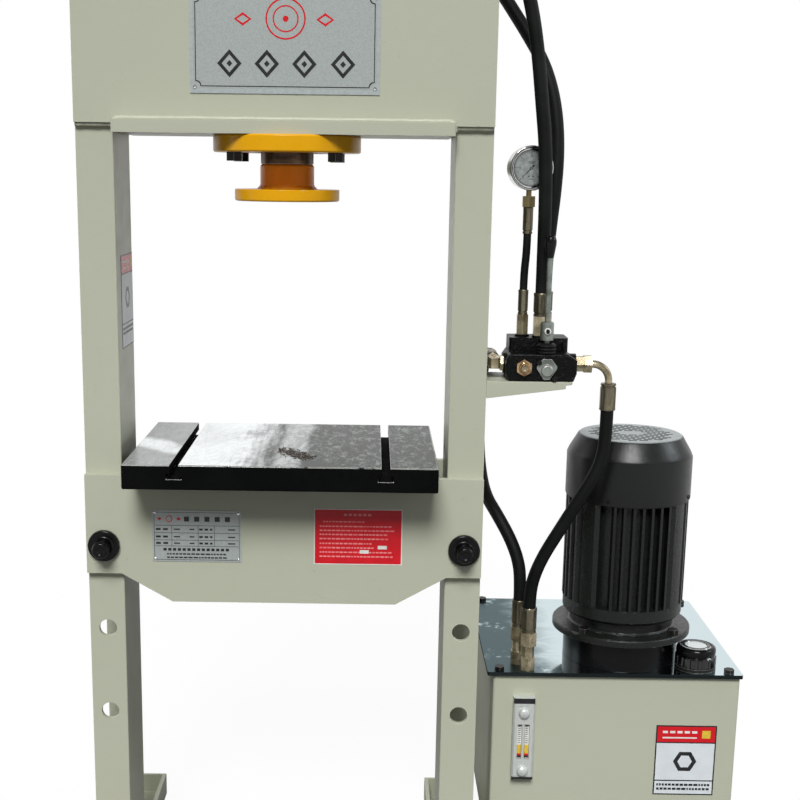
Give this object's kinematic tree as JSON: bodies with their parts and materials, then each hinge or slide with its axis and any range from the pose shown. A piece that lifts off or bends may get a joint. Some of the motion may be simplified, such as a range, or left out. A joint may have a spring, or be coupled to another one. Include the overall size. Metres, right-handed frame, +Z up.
{
  "type": "hydraulic press",
  "caption": "H-frame workshop press with a pinned bed and T-slotted table, hanging ram, lever valve with pressure gauge, and a motor-driven oil tank standing beside it.",
  "frame": {"origin": "middle of the work table top, on the ram axis", "axes": "+Z up along the ram axis, +X to the right towards the tank, +Y away from the viewer to the rear"},
  "size_m": [1.144, 0.686, 1.715],
  "materials": {
    "frame_paint": "satin, grey-green, lightly soiled",
    "yellow_paint": "satin yellow, chipped",
    "black_paint": "semi-gloss black",
    "lid_paint": "gloss black",
    "table_steel": "oiled, planed top",
    "dark_steel": "dull",
    "bright_steel": "ground",
    "zinc": "zinc plated",
    "brass": "satin",
    "chrome": "polished",
    "black_plastic": "gloss",
    "hose_rubber": "cloth-marked",
    "bellows_rubber": "matte",
    "glass": "clear",
    "dial_white": "matte",
    "plate_silver": "brushed",
    "sticker_red": "satin film",
    "sticker_white": "satin film"
  },
  "bodies": {
    "frame": {"left_column": "frame_paint", "right_column": "frame_paint", "left_foot": "frame_paint", "right_foot": "frame_paint", "bed_front_plate": "frame_paint", "bed_rear_plate": "frame_paint", "bed_ribs": "frame_paint", "work_table": "table_steel", "crown_front_plate": "frame_paint", "crown_rear_plate": "frame_paint", "crown_floor_plate": "frame_paint", "crown_cover_plate": "frame_paint", "cylinder_flange": "yellow_paint", "flange_bolts": "dark_steel", "cylinder_barrel": "frame_paint", "cylinder_elbows": "zinc", "gland_bush": "brass", "valve_shelf": "frame_paint", "valve_body": "black_paint", "relief_plug": "brass", "valve_end_cap": "zinc", "lever_bellows": "bellows_rubber", "threaded_fittings": "zinc", "hose_ferrules": "zinc", "return_elbow": "zinc", "pressure_tube": "zinc", "hose_upper": "hose_rubber", "hose_lower": "hose_rubber", "hose_gauge": "hose_rubber", "hose_pressure": "hose_rubber", "hose_return": "hose_rubber", "gauge_case": "chrome", "gauge_bezel": "chrome", "gauge_glass": "glass", "tank_shell": "frame_paint", "tank_lid": "lid_paint", "power_pack_bolts": "dark_steel", "level_gauge": "plate_silver", "filler_neck": "dark_steel", "tank_pipes": "dark_steel", "motor_riser": "black_paint", "motor_end_shield": "black_paint", "motor_body": "black_paint", "fan_cowl": "black_paint", "gear_pump": "black_paint", "terminal_box": "black_paint"},
    "ram": {"ram_rod": "dark_steel", "piston": "bright_steel", "ram_foot": "yellow_paint"},
    "left_pin_body": {"left_pin": "black_plastic"},
    "right_pin_body": {"right_pin": "black_plastic"},
    "lever": {"lever_socket": "zinc", "lever_rod": "bright_steel", "lever_knob": "black_plastic"},
    "spool": {"valve_spool": "bright_steel"},
    "needle": {"gauge_needle": "black_paint"},
    "rotor": {"cooling_fan": "black_plastic", "rotor_shaft": "bright_steel", "shaft_coupling": "bright_steel"},
    "filler_cap_body": {"filler_cap": "black_plastic"}
  },
  "joints": [
    {"name": "ram_slide", "type": "slide", "parent": "frame", "child": "ram", "axis": [0, 0, -1], "range_m": [0, 0.2]},
    {"name": "left_pin_slide", "type": "slide", "parent": "frame", "child": "left_pin_body", "axis": [0, -1, 0], "range_m": [0, 0.18]},
    {"name": "right_pin_slide", "type": "slide", "parent": "frame", "child": "right_pin_body", "axis": [0, -1, 0], "range_m": [0, 0.18]},
    {"name": "lever_swing", "type": "hinge", "parent": "frame", "child": "lever", "pos_m": [0.428, -0.05, 0.176], "axis": [0, 1, 0], "range_deg": [-12, 12], "stiffness_Nm_per_rad": 3},
    {"name": "spool_slide", "type": "slide", "parent": "frame", "child": "spool", "axis": [-1, 0, 0], "range_m": [-0.0075, 0.0075]},
    {"name": "needle_turn", "type": "hinge", "parent": "frame", "child": "needle", "pos_m": [0.395, -0.005, 0.4637], "axis": [-0.1736, 0.9848, 0], "range_deg": [0, 270]},
    {"name": "motor_spin", "type": "hinge", "parent": "frame", "child": "rotor", "pos_m": [0.603, 0.099, -0.28], "axis": [0, 0, 1], "continuous": true},
    {"name": "filler_cap_turn", "type": "hinge", "parent": "frame", "child": "filler_cap_body", "pos_m": [0.728, 0.035, -0.404], "axis": [0, 0, 1], "range_deg": [0, 90]}
  ],
  "couplings": [
    {"joint": "spool_slide", "follows": "lever_swing", "m_per_rad": 0.035}
  ]
}
